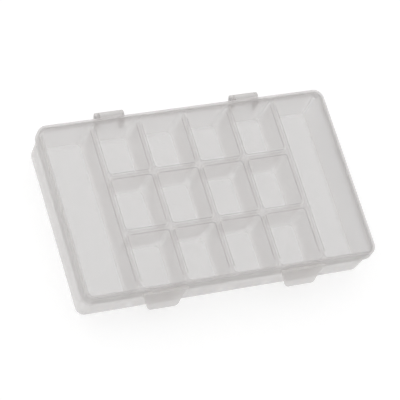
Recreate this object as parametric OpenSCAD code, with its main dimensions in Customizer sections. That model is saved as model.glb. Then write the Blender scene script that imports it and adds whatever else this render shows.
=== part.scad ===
// Compartment box for beads: a moulded tray with fixed dividers and one hinged, latching lid.
// Millimetres. Origin on the table under the middle of the tray, +Y to the hinges, +Z up.

/* [Box] */
// Length of the closed box over the lid, left to right
box_l = 178; // [146:1:240]
// Depth of the closed box over the lid, front to back
box_w = 107.5; // [86:0.5:150]
// Height of the closed box, table to top of lid
box_h = 28.5; // [22:0.5:45]
// Radius of the lid's four upright corners
corner_r = 6; // [5:0.5:12]

/* [Lid] */
// Thickness of the lid's top panel
panel_t = 1.2; // [0.9:0.1:1.6]
// Thickness of the lid's skirt
skirt_t = 1; // [0.8:0.1:1.4]
// Height of the skirt, from the top of the lid to its lower edge
skirt_h = 8.5; // [6:0.5:12]
// Rounding of the edge round the lid's top
lid_edge_r = 2.5; // [2:0.1:3.5]
// Gap all round between the skirt and the tray
skirt_gap = 0.2; // [0.15:0.05:0.5]
// Gap between the closed lid and the tray's rim
rim_gap = 0.3; // [0.2:0.05:0.6]

/* [Tray] */
// Thickness of the front and back walls at the rim
side_wall = 1.2; // [1:0.1:2]
// Thickness of the two end walls at the rim
end_wall = 1.8; // [1.2:0.1:3]
// Thickness of the floor
floor_t = 1.3; // [1:0.1:2.5]
// How far the outside of the tray leans in from rim to base
base_draft = 0.8; // [0:0.1:1]
// Rounding of the edge round the tray's base
base_edge_r = 1.8; // [1:0.1:2.5]
// Rounding of the rim's outer edge
rim_edge_r = 0.9; // [0.8:0.1:1]

/* [Compartments] */
// Number of small pockets from left to right
columns = 4; // [2:1:4]
// Number of rows of small pockets, front to back
rows = 3; // [2:1:4]
// Distance between the cross dividers, centre to centre
column_pitch = 28; // [22:0.5:29]
// Thickness of a divider at its top
divider_t = 1.2; // [0.8:0.1:2]
// Upright corner radius of a pocket at the rim
pocket_r = 3; // [2.5:0.1:5]
// How far a pocket's wall leans in from rim to floor
pocket_draft = 0.7; // [0.1:0.1:0.8]
// Rounding between a pocket's walls and its floor
floor_r = 1.6; // [0.8:0.1:1.7]

/* [Locating ribs under the lid] */
// Gap between a rib and the face of the divider beside it
rib_gap = 0.6; // [0.5:0.1:1]
// Thickness of a rib
rib_t = 0.8; // [0.6:0.1:1.2]
// How far a rib hangs below the panel
rib_h = 1.6; // [1:0.1:2.5]
// How far from the front and back of the lid the ribs end
rib_end = 7; // [5:0.5:12]

/* [Hinges] */
// Distance of each hinge from the middle of the box
hinge_x = 42; // [25:1:60]
// Length of the lid's barrel in each hinge
barrel_l = 13; // [8:0.5:20]
// Outer radius of the barrel and of the lugs round the pin
barrel_r = 2.5; // [2:0.1:3]
// Thickness of each lug of the tray
lug_t = 1.8; // [1.2:0.1:3]
// Gap at each end of the barrel
lug_gap = 0.25; // [0.15:0.05:0.5]
// Radius of the steel hinge pin
pin_r = 0.9; // [0.6:0.1:1.2]
// Radial clearance of the pin in the barrel
pin_run = 0.06; // [0.03:0.01:0.1]
// Radial clearance of the pin in the lugs
pin_seat = 0.02; // [0.01:0.01:0.04]
// How far the pin's ends lie inside the lugs' outer faces
pin_inset = 0.2; // [0:0.05:0.5]
// How far the lugs' brackets run down the back wall below the hinge line
lug_drop = 9; // [5:0.5:12]
// How far the barrel's web runs up the skirt above the hinge line
web_rise = 4.5; // [3:0.1:6]
// Distance of the hinge line behind the back of the lid
hinge_out = 3.65; // [3.6:0.05:5]
// Height of the hinge line above the skirt's lower edge
hinge_up = 0.4; // [0.2:0.1:0.6]

/* [Latches] */
// Distance of each latch from the middle of the box
latch_x = 42; // [25:1:60]
// Width of a latch at its hinge
latch_top_w = 27; // [16:0.5:34]
// Width of a latch at its finger tip
latch_tip_w = 17.6; // [10:0.2:26]
// Radius of the finger tip's corners
tip_r = 1.8; // [1:0.1:4]
// Length of a latch from its hinge to its tip
latch_l = 12.5; // [11.5:0.5:16]
// Thickness of a latch
latch_t = 1.3; // [1:0.1:1.8]
// Lean of a latch from upright at its hinge, in degrees
lean_top = 12; // [6:1:16]
// Lean of a latch from upright at its tip, in degrees
lean_tip = 32; // [24:1:40]
// Radius of the rounded roll at the latch's hinge
roll_r = 0.7; // [0.6:0.05:0.9]
// Distance of the latch's hinge line in front of the skirt
latch_out = 1; // [1:0.05:1.3]
// Distance of the latch's hinge line below the top of the lid
latch_drop = 3.7; // [3.4:0.1:4.5]
// Thickness of the thin hinge web between lid and latch
web_t = 0.4; // [0.3:0.05:0.6]
// Gap between the web and the latch's roll
web_gap = 0.05; // [0.03:0.01:0.1]
// Width of the hook behind a latch
hook_w = 15; // [8:0.5:20]
// How far the hook reaches under its catch
hook_bite = 0.8; // [0.5:0.1:1.2]
// Height of the hook's inner edge
hook_edge = 0.8; // [0.6:0.1:1.2]
// Height of the hook where it leaves the latch
hook_root = 2.4; // [1.6:0.1:3]
// Gap between the closed hook and the catch above it
hook_gap = 0.3; // [0.2:0.05:0.5]
// Width of a catch on the tray's front wall
catch_w = 19; // [12:0.5:26]
// How far a catch stands out from the front wall
catch_out = 1.8; // [1.4:0.1:2.2]
// Height of a catch's outer edge
catch_edge = 1.1; // [0.8:0.1:1.6]
// Gap between the skirt's lower edge and the top of a catch
catch_drop = 1; // [0.6:0.1:2]

/* [Hidden] */

frost = [0.83, 0.83, 0.82];
frost_dark = [0.76, 0.76, 0.75];
steel = [0.62, 0.63, 0.65];

eps = 0.5;                 // overlap of pieces that are fused into one moulding
arc_steps = 4;             // chords in a rounded edge
corner_steps = 6;          // chords in an upright corner of the lid and tray
pocket_steps = 4;          // chords in an upright corner of a pocket
least_r = 0.5;             // smallest corner radius left where a pocket meets its floor
round_fn = 48;             // facets of the pin, its bores and the eyes round it
latch_steps = 6;           // chords along a latch

panel_z = box_h - panel_t;
skirt_z = box_h - skirt_h;
skirt_r = lid_edge_r - (panel_t + skirt_t) / 2;

tray_h = panel_z - rim_gap;
tray_l = box_l - 2 * (skirt_t + skirt_gap);
tray_w = box_w - 2 * (skirt_t + skirt_gap);
tray_r = corner_r - skirt_t - skirt_gap;
inner_l = tray_l - 2 * end_wall;
inner_w = tray_w - 2 * side_wall;

grid_l = columns * column_pitch;
pocket_l = column_pitch - divider_t;
pocket_w = (inner_w - (rows - 1) * divider_t) / rows;
row_pitch = pocket_w + divider_t;
end_l = (inner_l - grid_l - divider_t) / 2;
end_x = (inner_l - end_l) / 2;

axis_y = box_w / 2 + hinge_out;
axis_z = skirt_z + hinge_up;
axis = [axis_y, axis_z];
lug_x = barrel_l / 2 + lug_gap;
pin_l = 2 * (lug_x + lug_t - pin_inset);
lug_top = skirt_z - 2 * rim_gap;
lug_foot = axis_z - lug_drop;

pivot_y = -box_w / 2 - latch_out;
pivot_z = box_h - latch_drop;
catch_top = skirt_z - catch_drop;
catch_z = catch_top - catch_out;
front_y = -tray_w / 2;

// Every compartment as [x, y, length, width]
pockets = concat(
    [for (i = [0:columns - 1], j = [0:rows - 1])
        [(i - (columns - 1) / 2) * column_pitch, (j - (rows - 1) / 2) * row_pitch, pocket_l, pocket_w]],
    [for (s = [-1, 1]) [s * end_x, 0, end_l, inner_w]]);

// Outline of a rectangle with round corners, counter-clockwise
function round_rect(l, w, r, steps) =
    [for (q = [0:3], i = [0:steps])
        let (a = 90 * (q + i / steps),
             sx = (q == 0 || q == 3) ? 1 : -1,
             sy = (q < 2) ? 1 : -1)
        [sx * (l / 2 - r) + r * cos(a), sy * (w / 2 - r) + r * sin(a)]];

// Point where a line from p touches the circle of radius r round c; side is 1 or -1
function touch(p, c, r, side) =
    let (v = (p - c) / norm(p - c), a = side * acos(r / norm(p - c)))
    c + r * [v[0] * cos(a) - v[1] * sin(a), v[0] * sin(a) + v[1] * cos(a)];

// A lofted block from levels of [height, inset]: each level is the round rectangle drawn in by its inset
module loft(l, w, r, steps, levels) {
    count = 4 * (steps + 1);
    rings = len(levels);
    points = [for (v = levels)
        for (p = round_rect(l - 2 * v[1], w - 2 * v[1], max(least_r, r - v[1]), steps)) [p[0], p[1], v[0]]];
    sides = [for (k = [0:rings - 2], j = [0:count - 1])
        let (n = (j + 1) % count)
        [k * count + j, (k + 1) * count + j, (k + 1) * count + n, k * count + n]];
    bottom = [for (j = [0:count - 1]) j];
    top = [for (j = [count - 1:-1:0]) (rings - 1) * count + j];
    polyhedron(points, concat(sides, [bottom, top]));
}

// Levels of an edge of radius r that leaves an upright wall at height z and turns to a flat above or below it
function edge_up(z, r, inset) =
    [for (i = [0:arc_steps]) let (a = 90 * i / arc_steps) [z + r * sin(a), inset + r * (1 - cos(a))]];
function edge_down(z, r, inset) =
    [for (i = [arc_steps:-1:0]) let (a = 90 * i / arc_steps) [z - r * sin(a), inset + r * (1 - cos(a))]];

module tray_block() {
    loft(tray_l, tray_w, tray_r, corner_steps,
        concat(edge_down(base_edge_r, base_edge_r, base_draft), edge_up(tray_h - rim_edge_r, rim_edge_r, 0)));
}

module pocket_space(l, w) {
    loft(l, w, pocket_r, pocket_steps,
        concat(edge_down(floor_t + floor_r, floor_r, pocket_draft), [[tray_h, 0], [tray_h + eps, 0]]));
}

// Side view of one lug: an eye round the pin on a bracket that grows out of the back wall
module lug_side() {
    wall_y = tray_w / 2 - side_wall;
    foot = [wall_y, lug_foot];
    union() {
        translate(axis) circle(r = barrel_r, $fn = round_fn);
        polygon([foot, [wall_y, lug_top], [axis_y - barrel_r, lug_top], axis, touch(foot, axis, barrel_r, 1)]);
    }
}

module hinge_lugs() {
    for (s = [-1, 1])
        translate([s * (lug_x + lug_t / 2), 0, 0])
            rotate([90, 0, 90])
                linear_extrude(lug_t, center = true) lug_side();
}

module pin_bore(r) {
    translate([0, axis_y, axis_z])
        rotate([0, 90, 0])
            cylinder(r = r, h = 2 * (lug_x + lug_t) + 2, center = true, $fn = round_fn);
}

// Catch for a latch: a ledge with a sloping top, so that the hook rides over it as the lid shuts
module catch_ledge() {
    rotate([90, 0, 90])
        linear_extrude(catch_w, center = true)
            polygon([
                [front_y + side_wall, catch_top],
                [front_y, catch_top],
                [front_y - catch_out, catch_z],
                [front_y - catch_out, catch_z - catch_edge],
                [front_y + side_wall, catch_z - catch_edge]]);
}

module tray() {
    color(frost)
    difference() {
        union() {
            tray_block();
            for (s = [-1, 1]) {
                translate([s * hinge_x, 0, 0]) hinge_lugs();
                translate([s * latch_x, 0, 0]) catch_ledge();
            }
        }
        for (p = pockets)
            translate([p[0], p[1], 0]) pocket_space(p[2], p[3]);
        for (s = [-1, 1])
            translate([s * hinge_x, 0, 0]) pin_bore(pin_r + pin_seat);
    }
}

module lid_shell() {
    difference() {
        loft(box_l, box_w, corner_r, corner_steps,
            concat([[skirt_z, 0]], edge_up(box_h - lid_edge_r, lid_edge_r, 0)));
        loft(box_l, box_w, corner_r, corner_steps,
            concat([[skirt_z - eps, skirt_t]], edge_up(panel_z - skirt_r, skirt_r, skirt_t)));
    }
}

// Ribs on both sides of every divider, round at the crossings and clear of the outer walls
module rib_grid() {
    keep_x = grid_l + divider_t + 2 * (rib_gap + rib_t);
    keep_y = box_w - 2 * rib_end;
    translate([0, 0, panel_z - rib_h])
        linear_extrude(rib_h + panel_t / 2)
            intersection() {
                square([keep_x, keep_y], center = true);
                union()
                    for (p = pockets)
                        translate([p[0], p[1]]) rib_ring(p[2] - 2 * rib_gap, p[3] - 2 * rib_gap);
            }
}

module rib_ring(l, w) {
    r = pocket_r - rib_gap;
    difference() {
        polygon(round_rect(l, w, r, pocket_steps));
        polygon(round_rect(l - 2 * rib_t, w - 2 * rib_t, r - rib_t, pocket_steps));
    }
}

// Side view of the lid's barrel and of the web that joins it to the skirt
module barrel_side() {
    skirt_y = box_w / 2 - skirt_t / 2;
    web_top = axis_z + web_rise;
    top = [box_w / 2, web_top];
    union() {
        translate(axis) circle(r = barrel_r, $fn = round_fn);
        polygon([
            [skirt_y, skirt_z],
            [skirt_y, web_top],
            top,
            touch(top, axis, barrel_r, -1),
            axis,
            [axis_y - sqrt(pow(barrel_r, 2) - pow(hinge_up, 2)), skirt_z]]);
    }
}

module hinge_barrel() {
    rotate([90, 0, 90])
        linear_extrude(barrel_l, center = true) barrel_side();
}

// Thin web that carries a latch on the skirt
module latch_web() {
    reach = latch_out - roll_r - web_gap;
    translate([0, -box_w / 2 - reach / 2 + skirt_t / 4, pivot_z])
        cube([latch_top_w - 2, reach + skirt_t / 2, web_t], center = true);
}

module lid() {
    color(frost)
    difference() {
        union() {
            lid_shell();
            rib_grid();
            for (s = [-1, 1]) {
                translate([s * hinge_x, 0, 0]) hinge_barrel();
                translate([s * latch_x, 0, 0]) latch_web();
            }
        }
        for (s = [-1, 1])
            translate([s * hinge_x, 0, 0]) pin_bore(pin_r + pin_run);
    }
}

// Lean of the latch, in degrees from upright, at a share t of its length
function lean(t) = lean_top + (lean_tip - lean_top) * t;
// Points of the latch's middle line in side view, from its hinge down, and the outward normals there
function latch_line(i) = i == 0 ? [pivot_y, pivot_z]
    : latch_line(i - 1) + latch_l / latch_steps
        * [-sin(lean((i - 0.5) / latch_steps)), -cos(lean((i - 0.5) / latch_steps))];
function latch_normal(i) = [-cos(lean(i / latch_steps)), sin(lean(i / latch_steps))];
// Where the middle line stands at height z
function latch_at(z) =
    [lookup(pivot_z - z, [for (i = [0:latch_steps]) [pivot_z - latch_line(i)[1], latch_line(i)[0]]]), z];

module latch_side() {
    outer = [for (i = [0:latch_steps]) latch_line(i) + latch_t / 2 * latch_normal(i)];
    inner = [for (i = [latch_steps:-1:0]) latch_line(i) - latch_t / 2 * latch_normal(i)];
    union() {
        translate([pivot_y, pivot_z]) circle(r = roll_r, $fn = round_fn);
        translate(latch_line(latch_steps)) circle(r = latch_t / 2, $fn = round_fn);
        polygon(concat(outer, inner));
    }
}

// Hook in side view: a flat top under the catch and a sloping underside
module hook_side() {
    hook_z = catch_z - catch_edge - hook_gap;
    hook_y = front_y - catch_out + hook_bite;
    polygon([[hook_y, hook_z], latch_at(hook_z), latch_at(hook_z - hook_root), [hook_y, hook_z - hook_edge]]);
}

// Front view of the latch: a trapezium that narrows to a finger tip with round corners
module latch_front() {
    top = latch_top_w / 2;
    tip = latch_tip_w / 2 - tip_r;
    low = latch_line(latch_steps)[1] - latch_t;
    side = [for (z = [pivot_z - roll_r, pivot_z + roll_r + eps]) [top, z]];
    corner = [for (i = [0:arc_steps]) let (a = 90 * i / arc_steps)
        [tip + tip_r * sin(a), low + tip_r * (1 - cos(a))]];
    right = concat(corner, side);
    polygon(concat(right, [for (i = [len(right) - 1:-1:0]) [-right[i][0], right[i][1]]]));
}

module latch() {
    color(frost_dark)
    union() {
        intersection() {
            rotate([90, 0, 90]) linear_extrude(latch_top_w, center = true) latch_side();
            translate([0, pivot_y + roll_r + eps, 0])
                rotate([90, 0, 0]) linear_extrude(latch_l) latch_front();
        }
        rotate([90, 0, 90]) linear_extrude(hook_w, center = true) hook_side();
    }
}

module hinge_pin() {
    color(steel)
    translate([0, axis_y, axis_z])
        rotate([0, 90, 0])
            cylinder(r = pin_r, h = pin_l, center = true, $fn = round_fn);
}

module latch_left() { translate([-latch_x, 0, 0]) latch(); }
module latch_right() { translate([latch_x, 0, 0]) latch(); }
module hinge_pin_left() { translate([-hinge_x, 0, 0]) hinge_pin(); }
module hinge_pin_right() { translate([hinge_x, 0, 0]) hinge_pin(); }

tray();
lid();
latch_left();
latch_right();
hinge_pin_left();
hinge_pin_right();
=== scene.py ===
import math

import bmesh
import bpy
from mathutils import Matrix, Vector


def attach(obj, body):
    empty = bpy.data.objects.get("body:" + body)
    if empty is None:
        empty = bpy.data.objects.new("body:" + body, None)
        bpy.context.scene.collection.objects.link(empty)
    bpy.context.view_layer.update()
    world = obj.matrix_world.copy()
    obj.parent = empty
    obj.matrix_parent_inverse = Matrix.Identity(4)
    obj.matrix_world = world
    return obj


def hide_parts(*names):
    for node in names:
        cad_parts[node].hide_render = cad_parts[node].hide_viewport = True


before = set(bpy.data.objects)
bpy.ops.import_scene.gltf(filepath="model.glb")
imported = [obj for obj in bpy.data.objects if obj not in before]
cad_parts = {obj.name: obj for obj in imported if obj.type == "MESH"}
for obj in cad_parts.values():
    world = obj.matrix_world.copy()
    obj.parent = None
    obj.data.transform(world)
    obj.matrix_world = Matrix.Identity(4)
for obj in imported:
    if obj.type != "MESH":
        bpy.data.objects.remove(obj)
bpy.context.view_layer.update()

mm = 0.001               # the settings below are in millimetres
near = 0.01              # within this a point counts as on a level
apart = 1                # beyond this two points are clearly apart
over = 1                 # how far a cutting tool runs past what it cuts
sameSpot = 0.002         # within this the points that a cut leaves doubled are merged
sliver = 0.001           # edges shorter than this are dissolved
seamAngle = 20           # degrees; an edge that bends less is a seam inside a flat face
facesUp = 0.9            # a face whose normal rises by more than this faces up

scene = bpy.context.scene
scene.view_settings.view_transform = "Standard"

# a line of sight crosses many frosted walls, so the light is followed through all of them
bounces = {
    "max_bounces": 24, "transmission_bounces": 24, "transparent_max_bounces": 24, "diffuse_bounces": 8,
}
for kind, count in bounces.items():
    setattr(scene.cycles, kind, count)


# small tools, each does what a hand would do in the editor

def deselectAll():
    active = bpy.context.view_layer.objects.active
    if active and active.mode != "OBJECT":
        bpy.ops.object.mode_set(mode="OBJECT")
    bpy.ops.object.select_all(action="DESELECT")


def pickObject(obj):
    deselectAll()
    obj.select_set(True)
    bpy.context.view_layer.objects.active = obj


def namePiece(name):
    # the new object's place goes into its mesh, so that the object itself stays at the origin
    obj = bpy.context.active_object
    obj.name = name
    obj.data.name = name
    pickObject(obj)
    bpy.ops.object.transform_apply(location=True, rotation=True, scale=True)
    return obj


def startEdit(obj, kind):
    pickObject(obj)
    bpy.ops.object.mode_set(mode="EDIT")
    bpy.ops.mesh.select_mode(type=kind)
    bpy.ops.mesh.select_all(action="DESELECT")
    return bmesh.from_edit_mesh(obj.data)


def endEdit():
    bpy.ops.object.mode_set(mode="OBJECT")


def selectAll(obj, kind):
    startEdit(obj, kind)
    bpy.ops.mesh.select_all(action="SELECT")


def selectFaces(obj, test):
    mesh = startEdit(obj, "FACE")
    for face in mesh.faces:
        face.select_set(bool(test(face.calc_center_median() / mm, face.normal)))
    bmesh.update_edit_mesh(obj.data)


def selectPoints(obj, test):
    mesh = startEdit(obj, "VERT")
    for point in mesh.verts:
        point.select_set(bool(test(point.co / mm)))
    mesh.select_flush(True)
    bmesh.update_edit_mesh(obj.data)


def selectIndices(obj, indices):
    mesh = startEdit(obj, "VERT")
    mesh.verts.ensure_lookup_table()
    for index in indices:
        mesh.verts[index].select_set(True)
    bmesh.update_edit_mesh(obj.data)


def roundEdges(obj, test, radius, segments):
    # rounds the real edges whose two ends pass the test, and leaves seams inside flat faces alone
    mesh = startEdit(obj, "EDGE")
    for edge in mesh.edges:
        a, b = (point.co / mm for point in edge.verts)
        edge.select_set(edge.calc_face_angle(0) > math.radians(seamAngle) and bool(test(a, b)))
    bmesh.update_edit_mesh(obj.data)
    bpy.ops.mesh.bevel(offset=radius * mm, offset_type="OFFSET", segments=segments, affect="EDGES",
                       clamp_overlap=True, loop_slide=True)
    endEdit()


def onLevel(z):
    return lambda a, b: abs(a.z - z) < near and abs(b.z - z) < near


def isUpright(a, b):
    return abs(a.z - b.z) > apart


def isAcross(a, b):
    return abs(a.x - b.x) < near


def addBlock(name, low, high):
    # a cube at its size and place, given by two corners
    low, high = Vector(low), Vector(high)
    deselectAll()
    bpy.ops.mesh.primitive_cube_add(size=1, location=(low + high) / 2 * mm, scale=(high - low) * mm)
    return namePiece(name)


def addRod(name, centre, radius, length, sides):
    # a cylinder that lies along X
    deselectAll()
    bpy.ops.mesh.primitive_cylinder_add(vertices=sides, radius=radius * mm, depth=length * mm,
                                        location=Vector(centre) * mm, rotation=(0, math.radians(90), 0))
    return namePiece(name)


def moveCopy(obj, name, offset):
    copy = obj.copy()
    copy.data = obj.data.copy()
    scene.collection.objects.link(copy)
    copy.location = Vector(offset) * mm
    pickObject(copy)
    return namePiece(name)


def removeObjects(*objects):
    for obj in objects:
        bpy.data.objects.remove(obj)


def runBoolean(obj, tools, operation):
    # the tools share one collection, so that a single modifier does the whole cut or weld
    group = bpy.data.collections.new("tools")
    scene.collection.children.link(group)
    for tool in tools:
        group.objects.link(tool)
    pickObject(obj)
    modifier = obj.modifiers.new("cut", "BOOLEAN")
    modifier.operation = operation
    modifier.operand_type = "COLLECTION"
    modifier.collection = group
    modifier.solver = "EXACT"
    bpy.ops.object.modifier_apply(modifier=modifier.name)
    removeObjects(*tools)
    bpy.data.collections.remove(group)


def movePoints(obj, indices, offset):
    selectIndices(obj, indices)
    bpy.ops.transform.translate(value=Vector(offset) * mm)
    endEdit()


def turnPoints(obj, indices, pivot, angle):
    # turns points about a line along X; with no window the turn runs the other way, hence the minus
    selectIndices(obj, indices)
    bpy.ops.transform.rotate(value=-math.radians(angle), orient_axis="X", orient_type="GLOBAL",
                             center_override=Vector(pivot) * mm)
    endEdit()


def roundedBlock(name, low, high, draft, corner, steps):
    # a block with round upright corners that narrows by its draft towards the bottom
    obj = addBlock(name, low, high)
    if draft:
        size = Vector(high) - Vector(low)
        middle = (Vector(low) + Vector(high)) / 2 * mm
        scale = (1 - 2 * draft / size.x, 1 - 2 * draft / size.y, 1)
        selectPoints(obj, lambda p: abs(p.z - low[2]) < near)
        bpy.ops.transform.resize(value=scale, center_override=middle)
        endEdit()
    roundEdges(obj, isUpright, corner, steps)
    return obj


def sideBlock(name, x, width, profile):
    # a cube whose four long edges go to the (y, z) points of a side view:
    # low front, high front, high back, low back
    obj = addBlock(name, (x - width / 2, 0, 0), (x + width / 2, 1, 1))
    corners = [Vector(corner) for corner in ((0, 0), (0, 1), (1, 1), (1, 0))]
    points = obj.data.vertices
    edges = [[p.index for p in points if (p.co.yz / mm - corner).length < near] for corner in corners]
    for indices, corner, (y, z) in zip(edges, corners, profile):
        movePoints(obj, indices, (0, y - corner.x, z - corner.y))
    return obj


def finishMesh(obj, sharpAngle):
    # merges what a cut leaves doubled, turns faces outwards and shades the rounded edges smooth
    selectAll(obj, "VERT")
    bpy.ops.mesh.remove_doubles(threshold=sameSpot * mm)
    bpy.ops.mesh.dissolve_degenerate(threshold=sliver * mm)
    bpy.ops.mesh.normals_make_consistent(inside=False)
    endEdit()
    bpy.ops.object.shade_smooth_by_angle(angle=math.radians(sharpAngle))
    weighted = obj.modifiers.new("evenShade", "WEIGHTED_NORMAL")
    weighted.keep_sharp = True
    bpy.ops.object.modifier_apply(modifier=weighted.name)
    print(obj.name, "has", len(obj.data.vertices), "points")


# the box: sizes that the tray and the lid share

box = {
    "length": 178, "depth": 107.5, "height": 28.5, "cornerRadius": 6,
    "panel": 1.2, "skirt": 1.0, "skirtHeight": 8.5, "skirtGap": 0.2, "rimGap": 0.3,
}
halfDepth = box["depth"] / 2
skirtZ = box["height"] - box["skirtHeight"]
panelZ = box["height"] - box["panel"]
trayHeight = panelZ - box["rimGap"]
trayLength = box["length"] - 2 * (box["skirt"] + box["skirtGap"])
trayDepth = box["depth"] - 2 * (box["skirt"] + box["skirtGap"])
trayCorner = box["cornerRadius"] - box["skirt"] - box["skirtGap"]


# the hinge: two lugs on the tray hold a pin, on which the lid's barrel turns

hinge = {
    "x": 42, "barrel": 13, "radius": 2.5, "sides": 40, "lug": 1.8, "lugGap": 0.25,
    "pin": 0.9, "pinRun": 0.06, "pinSeat": 0.02, "lugDrop": 9, "webRise": 4.9, "webLift": 0.02,
    "out": 3.65, "up": 0.4, "edge": 0.3, "edgeSteps": 3,
}
axisY = halfDepth + hinge["out"]
axisZ = skirtZ + hinge["up"]
lugX = hinge["barrel"] / 2 + hinge["lugGap"]


def touchPoint(point, side):
    # where a line from a point of the side view touches the barrel's circle
    dy, dz = point[0] - axisY, point[1] - axisZ
    turn = math.atan2(dz, dy) + side * math.acos(hinge["radius"] / math.hypot(dy, dz))
    return axisY + hinge["radius"] * math.cos(turn), axisZ + hinge["radius"] * math.sin(turn)


# the tray: an outer block, fourteen drafted pockets, two catches and four hinge lugs

tray = {
    "cornerSteps": 10, "baseDraft": 0.8, "baseRound": 1.8, "baseSteps": 5, "rimRound": 0.9, "rimSteps": 4,
    "sideWall": 1.2, "endWall": 1.8, "floor": 1.3, "sharp": 40,
    "columns": 4, "rows": 3, "pitch": 28, "divider": 1.2,
    "pocketCorner": 3, "pocketSteps": 7, "pocketDraft": 0.3, "floorRound": 0.5, "floorSteps": 3,
    "lipRound": 0.4, "lipSteps": 4,
    "root": 0.6,         # how far a lug or a ledge reaches into the wall
}
catch = {"x": 42, "width": 19, "out": 1.8, "edge": 1.1, "drop": 1, "round": 0.3, "roundSteps": 3}
innerLength = trayLength - 2 * tray["endWall"]
innerDepth = trayDepth - 2 * tray["sideWall"]
pocketLength = tray["pitch"] - tray["divider"]
pocketDepth = (innerDepth - (tray["rows"] - 1) * tray["divider"]) / tray["rows"]
rowPitch = pocketDepth + tray["divider"]
gridLength = tray["columns"] * tray["pitch"]
endLength = (innerLength - gridLength - tray["divider"]) / 2
endX = (innerLength - endLength) / 2
pockets = [((i - (tray["columns"] - 1) / 2) * tray["pitch"], (j - (tray["rows"] - 1) / 2) * rowPitch)
           for i in range(tray["columns"]) for j in range(tray["rows"])]


def pocketTool(name, length, depth):
    # the space of one pocket: drafted walls, a filleted floor and a mouth that flares over the rolled lip
    wallTop = trayHeight - tray["lipRound"]
    low = (-length / 2, -depth / 2, tray["floor"])
    high = (length / 2, depth / 2, wallTop)
    tool = roundedBlock(name, low, high, tray["pocketDraft"], tray["pocketCorner"], tray["pocketSteps"])
    roundEdges(tool, onLevel(tray["floor"]), tray["floorRound"], tray["floorSteps"])
    selectFaces(tool, lambda centre, normal: normal.z > facesUp and centre.z > wallTop - near)
    grown, height = 0, wallTop
    for step in range(tray["lipSteps"]):
        turn = math.radians(90) * (step + 1) / tray["lipSteps"]
        nextGrown = tray["lipRound"] * (1 - math.cos(turn))
        nextHeight = wallTop + tray["lipRound"] * math.sin(turn)
        rise = (0, 0, (nextHeight - height) * mm)
        bpy.ops.mesh.extrude_region_move(TRANSFORM_OT_translate={"value": rise})
        scale = [(side + 2 * nextGrown) / (side + 2 * grown) for side in (length, depth)]
        bpy.ops.transform.resize(value=(scale[0], scale[1], 1), center_override=(0, 0, nextHeight * mm))
        grown, height = nextGrown, nextHeight
    bpy.ops.mesh.extrude_region_move(TRANSFORM_OT_translate={"value": (0, 0, over * mm)})
    endEdit()
    return tool


def buildTray():
    low = (-trayLength / 2, -trayDepth / 2, 0)
    high = (trayLength / 2, trayDepth / 2, trayHeight)
    body = roundedBlock("tray_moulding", low, high, tray["baseDraft"], trayCorner, tray["cornerSteps"])
    roundEdges(body, onLevel(0), tray["baseRound"], tray["baseSteps"])
    roundEdges(body, onLevel(trayHeight), tray["rimRound"], tray["rimSteps"])
    root = tray["root"]
    wallY = trayDepth / 2 - tray["sideWall"]
    foot = (wallY, axisZ - hinge["lugDrop"])
    armSide = [foot, (wallY, skirtZ - root), (axisY, axisZ), touchPoint(foot, 1)]
    front = -trayDepth / 2
    ledgeZ = skirtZ - catch["drop"]
    ledgeY = front - catch["out"]
    noseZ = ledgeZ - catch["out"]
    ledgeSide = [(ledgeY, noseZ - catch["edge"]), (ledgeY, noseZ), (front + root, ledgeZ + root),
                 (front + root, noseZ - catch["edge"])]
    added = []
    for side in (-1, 1):
        for end in (-1, 1):
            x = side * hinge["x"] + end * (lugX + hinge["lug"] / 2)
            eye = addRod("eye", (x, axisY, axisZ), hinge["radius"], hinge["lug"], hinge["sides"])
            roundEdges(eye, isAcross, hinge["edge"], hinge["edgeSteps"])
            added += [eye, sideBlock("arm", x, hinge["lug"], armSide)]
        ledge = sideBlock("ledge", side * catch["x"], catch["width"], ledgeSide)
        roundEdges(ledge, lambda a, b: max(a.y, b.y) < ledgeY + near, catch["round"], catch["roundSteps"])
        added.append(ledge)
    runBoolean(body, added, "UNION")
    small = pocketTool("pocket", pocketLength, pocketDepth)
    large = pocketTool("compartment", endLength, innerDepth)
    cuts = [moveCopy(small, "pocket", (x, y, 0)) for x, y in pockets]
    cuts += [moveCopy(large, "compartment", (side * endX, 0, 0)) for side in (-1, 1)]
    cuts += [addRod("bore", (side * hinge["x"], axisY, axisZ), hinge["pin"] + hinge["pinSeat"],
                    2 * (lugX + hinge["lug"] + over), hinge["sides"]) for side in (-1, 1)]
    removeObjects(small, large)
    runBoolean(body, cuts, "DIFFERENCE")
    finishMesh(body, tray["sharp"])
    return body


# the lid: panel and skirt in one, ribs that line up with the pockets, hinge barrels and latch webs

lid = {
    "edgeRound": 2.5, "edgeSteps": 7, "cornerSteps": 12, "lipRound": 0.25, "lipSteps": 3, "sharp": 40,
    "ribGap": 0.6, "rib": 0.8, "ribHeight": 1.6, "ribEnd": 7, "ribRound": 0.25, "ribSteps": 3,
}
latch = {
    "x": 42, "topWidth": 27, "tipWidth": 17.6, "tipRound": 1.8, "tipSteps": 6, "length": 12.5,
    "thick": 1.3, "leanTop": 12, "leanTip": 32, "steps": 8, "out": 1, "drop": 3.7,
    "web": 0.4, "webGap": 0.05, "webInset": 1, "roll": 0.7, "edge": 0.35, "edgeSteps": 3, "sharp": 50,
    "hookWidth": 15, "hookBite": 0.8, "hookEdge": 0.8, "hookRoot": 2.4, "hookGap": 0.3,
    "hookRound": 0.2, "hookSteps": 2,
}
pivotY = -halfDepth - latch["out"]
pivotZ = box["height"] - latch["drop"]


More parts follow.
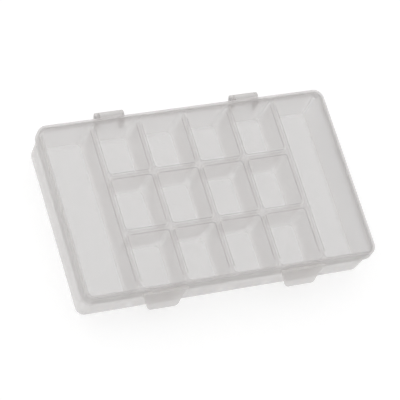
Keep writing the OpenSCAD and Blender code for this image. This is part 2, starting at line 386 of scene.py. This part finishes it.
def ribRing(name, length, depth):
    # the ribs that stand round one pocket's mouth, as a closed ring
    gap, thick = lid["ribGap"], lid["rib"]
    radius = tray["pocketCorner"] - gap
    bottom = panelZ - lid["ribHeight"]
    top = panelZ + box["panel"] / 2
    x, y = length / 2 - gap, depth / 2 - gap
    ring = roundedBlock(name, (-x, -y, bottom), (x, y, top), 0, radius, tray["pocketSteps"])
    low, high = (thick - x, thick - y, bottom - over), (x - thick, y - thick, top + over)
    hole = roundedBlock("hole", low, high, 0, radius - thick, tray["pocketSteps"])
    runBoolean(ring, [hole], "DIFFERENCE")
    roundEdges(ring, onLevel(bottom), lid["ribRound"], lid["ribSteps"])
    return ring


def trimRing(ring, point, direction):
    # cuts away the part of a ring beyond a plane and closes the cut
    selectAll(ring, "FACE")
    bpy.ops.mesh.bisect(plane_co=Vector(point) * mm, plane_no=direction, use_fill=True,
                        clear_outer=True)
    endEdit()


def buildRibs():
    # the ribs stop short of the lid's edge, so the outer rings are open on that side
    ribEndY = halfDepth - lid["ribEnd"]
    small = ribRing("ring", pocketLength, pocketDepth)
    large = ribRing("ring", endLength, innerDepth)
    ribs = []
    for x, y in pockets:
        ring = moveCopy(small, "ring", (x, y, 0))
        if abs(y) > apart:
            way = math.copysign(1, y)
            trimRing(ring, (0, way * ribEndY, 0), (0, way, 0))
        ribs.append(ring)
    for side in (-1, 1):
        ring = moveCopy(large, "ring", (side * endX, 0, 0))
        for way in (-1, 1):
            trimRing(ring, (0, way * ribEndY, 0), (0, way, 0))
        trimRing(ring, (side * endX, 0, 0), (side, 0, 0))
        ribs.append(ring)
    removeObjects(small, large)
    return ribs


def buildLid():
    low = (-box["length"] / 2, -halfDepth, skirtZ)
    high = (box["length"] / 2, halfDepth, box["height"])
    body = roundedBlock("lid_moulding", low, high, 0, box["cornerRadius"], lid["cornerSteps"])
    roundEdges(body, onLevel(box["height"]), lid["edgeRound"], lid["edgeSteps"])
    skirt = box["skirt"]
    low = (low[0] + skirt, low[1] + skirt, skirtZ - 2 * over)
    high = (high[0] - skirt, high[1] - skirt, panelZ)
    inside = roundedBlock("inside", low, high, 0, box["cornerRadius"] - skirt, lid["cornerSteps"])
    roundEdges(inside, onLevel(panelZ), lid["edgeRound"] - (box["panel"] + skirt) / 2, lid["edgeSteps"])
    runBoolean(body, [inside], "DIFFERENCE")
    roundEdges(body, onLevel(skirtZ), lid["lipRound"], lid["lipSteps"])
    added = buildRibs()
    skirtY = halfDepth - skirt / 2                    # the webs start in the middle of the skirt
    webTop = (skirtY, axisZ + hinge["webRise"])
    webSide = [(skirtY, skirtZ + hinge["webLift"]), webTop, touchPoint(webTop, -1), (axisY, axisZ)]
    webX = latch["topWidth"] / 2 - latch["webInset"]
    webY = -halfDepth - (latch["out"] - latch["roll"] - latch["webGap"])
    for side in (-1, 1):
        x = side * hinge["x"]
        barrel = addRod("barrel", (x, axisY, axisZ), hinge["radius"], hinge["barrel"], hinge["sides"])
        roundEdges(barrel, isAcross, hinge["edge"], hinge["edgeSteps"])
        web = sideBlock("web", x, hinge["barrel"], webSide)
        x = side * latch["x"]
        latchWeb = addBlock("latchWeb", (x - webX, webY, pivotZ - latch["web"] / 2),
                            (x + webX, -skirtY, pivotZ + latch["web"] / 2))
        added += [barrel, web, latchWeb]
    runBoolean(body, added, "UNION")
    bores = [addRod("bore", (side * hinge["x"], axisY, axisZ), hinge["pin"] + hinge["pinRun"],
                    hinge["barrel"] + 2 * over, hinge["sides"]) for side in (-1, 1)]
    runBoolean(body, bores, "DIFFERENCE")
    finishMesh(body, lid["sharp"])
    return body


# the latches: bent plates that narrow to a finger tip, each with a hook behind it

def latchLean(step):
    # degrees that the plate leans outwards halfway along a step
    return latch["leanTop"] + (latch["leanTip"] - latch["leanTop"]) * (step + 0.5) / latch["steps"]


def latchLine(steps):
    # (y, z) of the plate's middle line after a number of steps
    y, z = pivotY, pivotZ
    for step in range(steps):
        lean = math.radians(latchLean(step))
        y -= latch["length"] / latch["steps"] * math.sin(lean)
        z -= latch["length"] / latch["steps"] * math.cos(lean)
    return y, z


def latchAt(height):
    # (y, z) of the plate's middle line at a height
    for step in range(latch["steps"]):
        (y0, z0), (y1, z1) = latchLine(step), latchLine(step + 1)
        if z1 <= height <= z0:
            return y0 + (y1 - y0) * (z0 - height) / (z0 - z1), height
    return latchLine(latch["steps"])


def buildLatch(name, x):
    half = latch["thick"] / 2
    top, tip = latch["topWidth"] / 2, latch["tipWidth"] / 2
    plate = addBlock(name, (x - top, pivotY - half, pivotZ - latch["length"]),
                     (x + top, pivotY + half, pivotZ + latch["roll"]))
    selectPoints(plate, lambda p: p.z < pivotZ - apart)
    bpy.ops.transform.resize(value=(tip / top, 1, 1), center_override=(x * mm, pivotY * mm, 0))
    endEdit()
    roundEdges(plate, lambda a, b: abs(a.y - b.y) > apart and max(a.z, b.z) < pivotZ - apart,
               latch["tipRound"], latch["tipSteps"])
    roundEdges(plate, lambda a, b: abs(a.y - b.y) < near, latch["edge"], latch["edgeSteps"])
    for step in range(latch["steps"]):                # one cut for each bend of the plate
        selectAll(plate, "FACE")
        cutZ = pivotZ - latch["length"] * step / latch["steps"]
        bpy.ops.mesh.bisect(plane_co=(0, 0, cutZ * mm), plane_no=(0, 0, 1), use_fill=False)
        endEdit()
    depths = [(pivotZ - v.co.z / mm) / latch["length"] * latch["steps"] for v in plate.data.vertices]
    lean = 0
    for step in range(latch["steps"]):                # all that lies below a cut turns outwards about it
        below = [i for i, depth in enumerate(depths) if depth > step + near]
        turnPoints(plate, below, (x, *latchLine(step)), lean - latchLean(step))
        lean = latchLean(step)
    hookZ = skirtZ - catch["drop"] - catch["out"] - catch["edge"] - latch["hookGap"]
    hookY = -trayDepth / 2 - catch["out"] + latch["hookBite"]
    hookSide = [latchAt(hookZ - latch["hookRoot"]), latchAt(hookZ), (hookY, hookZ),
                (hookY, hookZ - latch["hookEdge"])]
    hook = sideBlock("hook", x, latch["hookWidth"], hookSide)
    roundEdges(hook, lambda a, b: min(a.y, b.y) > hookY - near, latch["hookRound"], latch["hookSteps"])
    runBoolean(plate, [hook], "UNION")
    finishMesh(plate, latch["sharp"])
    return plate


# materials

def linearColour(code):
    # sRGB hex to linear RGBA
    parts = [int(code[i:i + 2], 16) / 255 for i in (1, 3, 5)]
    return [c / 12.92 if c <= 0.04045 else ((c + 0.055) / 1.055) ** 2.4 for c in parts] + [1]


def addNode(tree, kind, values=None, links=None, **settings):
    node = tree.nodes.new(kind)
    for key, value in settings.items():
        setattr(node, key, value)
    for socket, value in (values or {}).items():
        node.inputs[socket].default_value = value
    for socket, source in (links or {}).items():
        tree.links.new(source, node.inputs[socket])
    return node


def newMaterial(name):
    material = bpy.data.materials.new(name)
    material.use_nodes = True
    material.node_tree.nodes.clear()
    return material, material.node_tree


def setMaterial(obj, material):
    obj.data.materials.clear()
    obj.data.materials.append(material)


def frostedPolypropylene(name, look):
    # natural polypropylene from a spark-eroded mould: milky, with a fine matt grain and a soft sheen;
    # a wall lets one part of the light straight through and scatters the rest to both of its sides
    material, tree = newMaterial(name)
    place = addNode(tree, "ShaderNodeTexCoord").outputs["Object"]
    cloud = addNode(tree, "ShaderNodeTexNoise", {"Scale": 1 / (look["cloud"] * mm), "Detail": 3},
                    {"Vector": place}).outputs["Fac"]
    # the mix node's sockets for colours: 0 takes the factor, 6 and 7 the two ends, and 2 gives the result
    tint = addNode(tree, "ShaderNodeMix", {6: linearColour(look["pale"]), 7: linearColour(look["dull"])},
                   {0: cloud}, data_type="RGBA").outputs[2]
    grain = addNode(tree, "ShaderNodeTexNoise", {"Scale": 1 / (look["grain"] * mm), "Detail": 2},
                    {"Vector": place}).outputs["Fac"]
    bump = addNode(tree, "ShaderNodeBump", {"Strength": look["relief"], "Distance": look["depth"] * mm},
                   {"Height": grain}).outputs["Normal"]
    rough = addNode(tree, "ShaderNodeMapRange", {"To Min": look["smooth"], "To Max": look["rough"]},
                    {"Value": grain}).outputs[0]
    face = addNode(tree, "ShaderNodeBsdfPrincipled", {"IOR": 1.49, "Specular IOR Level": look["gloss"]},
                   {"Base Color": tint, "Roughness": rough, "Normal": bump}).outputs[0]
    through = addNode(tree, "ShaderNodeBsdfTranslucent", None, {"Color": tint}).outputs[0]
    milky = addNode(tree, "ShaderNodeMixShader", {0: look["passed"]}, {1: face, 2: through}).outputs[0]
    tone = linearColour(look["through"])
    straight = addNode(tree, "ShaderNodeBsdfTransparent", {"Color": tone}).outputs[0]
    wall = addNode(tree, "ShaderNodeMixShader", {0: look["clear"]}, {1: milky, 2: straight})
    if look["slant"]:
        # at a slant the light has more plastic to cross, so less of it comes out straight
        facing = addNode(tree, "ShaderNodeLayerWeight", {"Blend": 0.5}).outputs["Facing"]
        cosine = addNode(tree, "ShaderNodeMath", {0: 1.0}, {1: facing}, operation="SUBTRACT").outputs[0]
        cosine = addNode(tree, "ShaderNodeMath", {1: look["edgeOn"]}, {0: cosine},
                         operation="MAXIMUM").outputs[0]
        path = addNode(tree, "ShaderNodeMath", {1: -look["slant"]}, {0: cosine},
                       operation="POWER").outputs[0]
        share = addNode(tree, "ShaderNodeMath", {0: look["clear"]}, {1: path}, operation="POWER").outputs[0]
        tree.links.new(share, wall.inputs[0])
    addNode(tree, "ShaderNodeOutputMaterial", None, {"Surface": wall.outputs[0]})
    return material


def insetOf(point, length, depth, corner):
    # how far inside a rounded outline a point lies, in millimetres
    x, y = abs(point.x) - length / 2 + corner, abs(point.y) - depth / 2 + corner
    return corner - math.hypot(max(x, 0), max(y, 0)) - min(max(x, y), 0)


def frostPiece(piece, name, looks):
    # each look is for the faces that pass its test, and the last one that a face passes is taken
    piece.data.materials.clear()
    for index, (part, look, test) in enumerate(looks):
        piece.data.materials.append(frostedPolypropylene(name + part, look))
        for face in piece.data.polygons:
            if test(face.center / mm):
                face.material_index = index


def drawnSteel(name, look):
    # plain wire drawn through a die: bright, with fine lines along its length
    material, tree = newMaterial(name)
    place = addNode(tree, "ShaderNodeTexCoord").outputs["Object"]
    lines = addNode(tree, "ShaderNodeMapping", {"Scale": (look["stretch"], 1, 1)},
                    {"Vector": place}).outputs[0]
    draw = addNode(tree, "ShaderNodeTexNoise", {"Scale": 1 / (look["line"] * mm), "Detail": 2},
                   {"Vector": lines}).outputs["Fac"]
    rough = addNode(tree, "ShaderNodeMapRange", {"To Min": look["smooth"], "To Max": look["rough"]},
                    {"Value": draw}).outputs[0]
    bump = addNode(tree, "ShaderNodeBump", {"Strength": look["relief"], "Distance": look["depth"] * mm},
                   {"Height": draw}).outputs["Normal"]
    colour = linearColour(look["colour"])
    metal = addNode(tree, "ShaderNodeBsdfPrincipled", {"Base Color": colour, "Metallic": 1.0},
                    {"Roughness": rough, "Normal": bump})
    addNode(tree, "ShaderNodeOutputMaterial", None, {"Surface": metal.outputs[0]})
    return material


# clear is the share of light that goes straight through a wall seen square on, passed the share of the
# scattered light that leaves on the far side, slant how fast a wall clouds over as it turns from the eye,
# and edgeOn the cosine at which that stops; cloud, grain and depth are millimetres, and the grain is
# drawn coarser than the real 0.1 mm so that it shows
frost = {
    "pale": "#f8f6f5", "dull": "#f5f3f2", "through": "#fdfdfd", "cloud": 40, "edgeOn": 0.05,
    "grain": 0.6, "relief": 0.1, "depth": 0.05, "smooth": 0.38, "rough": 0.52, "gloss": 0.2,
}
trayLook = dict(frost, pale="#fefcfb", dull="#fcfaf9", through="#ffffff",
                clear=0.80, slant=0.5, passed=0.65)
# painted shade: the tray's outer walls get a darker, cloudier copy of the tray's look that stands in for
# the shade on its sides
shellPaintedShadeLook = dict(frost, pale="#e8e6e5", dull="#e4e2e1", clear=0.77, slant=0.5, passed=0.6)
# painted light: the pockets' lips get a clearer copy of the tray's look, a brightening that stands in for
# the light the walls carry up to their edges
lipPaintedLightLook = dict(trayLook, clear=0.90, slant=0, passed=0.5)
lidLook = dict(frost, pale="#e8e6e5", dull="#e4e2e1", through="#f9f9f9",
               clear=0.85, slant=1.5, passed=0.5)
# painted shade: the lid's rim and skirt get a cloudier copy of the lid's look, toned so that the rolled
# edge shows a dark outline and the front skirt stays dark
rimPaintedShadeLook = dict(lidLook, pale="#f0eeed", dull="#eceae9", clear=0.77, slant=0.8)
ribLook = dict(lidLook, clear=0.90, slant=0.5)
thickLook = dict(frost, pale="#f0eeed", dull="#eceae9", clear=0.30, slant=0, passed=0.3)
latchLook = dict(frost, through="#ffffff", clear=0.50, slant=0, passed=0.4)
wireLook = {
    "colour": "#a9abae", "line": 0.08, "stretch": 0.02, "relief": 0.2, "depth": 0.01,
    "smooth": 0.25, "rough": 0.45,
}

# how far in from the outline the shell's and the rim's slots reach, and what counts as outside it
reach = {"shell": 1.1, "rim": 2.4, "outside": -0.03}


# camera, floor and light

camera = {
    "place": (-484.958, -454.513, 1099.730),          # millimetres
    "turn": (26.9918, -16.7988, -17.1948),            # degrees about X, Y and Z
    "lens": 201.696, "sensor": 36,
    "nearest": 0.01, "farthest": 50,                  # metres
}
floor = {"size": 6, "paper": "#f0f0f0", "seen": "#c4c4c4", "glow": 0.56}    # the size in metres
light = {"level": 0.56, "right": -0.12, "back": 0.36, "top": 0.46}


def addCamera():
    deselectAll()
    turn = [math.radians(angle) for angle in camera["turn"]]
    bpy.ops.object.camera_add(location=Vector(camera["place"]) * mm, rotation=turn)
    view = bpy.context.active_object
    view.name = "camera"
    view.data.lens = camera["lens"]
    view.data.sensor_width = camera["sensor"]
    view.data.clip_start = camera["nearest"]
    view.data.clip_end = camera["farthest"]
    scene.camera = view


def seenPlainly(tree):
    # 1 for rays that show what lies behind, straight, mirrored or through plastic, 0 for those that
    # carry light
    path = addNode(tree, "ShaderNodeLightPath").outputs
    seen = addNode(tree, "ShaderNodeMath", None, {0: path["Is Camera Ray"], 1: path["Is Glossy Ray"]},
                   operation="MAXIMUM").outputs[0]
    return addNode(tree, "ShaderNodeMath", None, {0: seen, 1: path["Is Transmission Ray"]},
                   operation="MAXIMUM").outputs[0]


def addFloor():
    # white matt paper; seen plainly it is half lit from behind, so that the box's soft shadow stays faint
    deselectAll()
    bpy.ops.mesh.primitive_plane_add(size=floor["size"])
    paper = namePiece("floor")
    material, tree = newMaterial("paper")
    matt = addNode(tree, "ShaderNodeBsdfDiffuse", {"Color": linearColour(floor["seen"])}).outputs[0]
    strength = addNode(tree, "ShaderNodeMath", {1: floor["glow"]}, {0: seenPlainly(tree)},
                       operation="MULTIPLY").outputs[0]
    glow = addNode(tree, "ShaderNodeEmission", {"Color": (1, 1, 1, 1)}, {"Strength": strength}).outputs[0]
    seen = addNode(tree, "ShaderNodeAddShader", None, {0: matt, 1: glow}).outputs[0]
    white = addNode(tree, "ShaderNodeBsdfDiffuse", {"Color": linearColour(floor["paper"])}).outputs[0]
    both = addNode(tree, "ShaderNodeMixShader", None, {0: seenPlainly(tree), 1: white, 2: seen})
    addNode(tree, "ShaderNodeOutputMaterial", None, {"Surface": both.outputs[0]})
    setMaterial(paper, material)


def addLight():
    # a white tent round the box, brighter at the top, the back and the left than at the front and right
    world = bpy.data.worlds.new("studio")
    scene.world = world
    world.use_nodes = True
    tree = world.node_tree
    tree.nodes.clear()
    way = addNode(tree, "ShaderNodeTexCoord").outputs["Generated"]
    bright = (light["right"], light["back"], light["top"])
    lean = addNode(tree, "ShaderNodeVectorMath", {1: bright}, {0: way},
                   operation="DOT_PRODUCT").outputs["Value"]
    level = addNode(tree, "ShaderNodeMath", {1: light["level"]}, {0: lean}, operation="ADD").outputs[0]
    tent = addNode(tree, "ShaderNodeBackground", {"Color": (1, 1, 1, 1)}, {"Strength": level}).outputs[0]
    white = addNode(tree, "ShaderNodeBackground", {"Color": (1, 1, 1, 1), "Strength": 1}).outputs[0]
    both = addNode(tree, "ShaderNodeMixShader", None, {0: seenPlainly(tree), 1: tent, 2: white})
    addNode(tree, "ShaderNodeOutputWorld", None, {"Surface": both.outputs[0]})


# the scene

addCamera()
addFloor()
addLight()
print("camera, floor and light are in place")

# the tray's outer side and the lid's rim and skirt are cloudier than the rest, the tray's outer side also
# darker, which is painted shade for the sides in shade and for the rolled edge's dark outline; the hinge
# and catch parts are cloudier too; the pockets' lips are clearer, painted light for the light that the
# walls carry up to their edges, and the lid's ribs are clearer
traySize = (trayLength, trayDepth, trayCorner)
trayPiece = buildTray()
frostPiece(trayPiece, "tray_polypropylene", [
    ("", trayLook, lambda p: True),
    ("_lips_painted_light", lipPaintedLightLook, lambda p: p.z > trayHeight - tray["lipRound"]),
    ("_shell_painted_shade", shellPaintedShadeLook, lambda p: insetOf(p, *traySize) < reach["shell"]),
    ("_thick", thickLook, lambda p: insetOf(p, *traySize) < reach["outside"]),
])
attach(trayPiece, "tray")
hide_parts("tray")

lidSize = (box["length"], box["depth"], box["cornerRadius"])
lidPiece = buildLid()
frostPiece(lidPiece, "lid_polypropylene", [
    ("", lidLook, lambda p: True),
    ("_ribs", ribLook, lambda p: p.z < panelZ - near),
    ("_rim", rimPaintedShadeLook, lambda p: insetOf(p, *lidSize) < reach["rim"]),
    ("_thick", thickLook, lambda p: insetOf(p, *lidSize) < reach["outside"]),
])
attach(lidPiece, "lid")
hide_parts("lid")

latchMaterial = frostedPolypropylene("latch_polypropylene", latchLook)
wireMaterial = drawnSteel("drawn_steel_wire", wireLook)
for side, name in ((-1, "left"), (1, "right")):
    latchPiece = buildLatch("latch_plate_" + name, side * latch["x"])
    setMaterial(latchPiece, latchMaterial)
    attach(latchPiece, "latch_" + name)
    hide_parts("latch_" + name)
    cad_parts["hinge_pin_" + name].material_slots[0].material = wireMaterial
print("all pieces ride on their bodies")
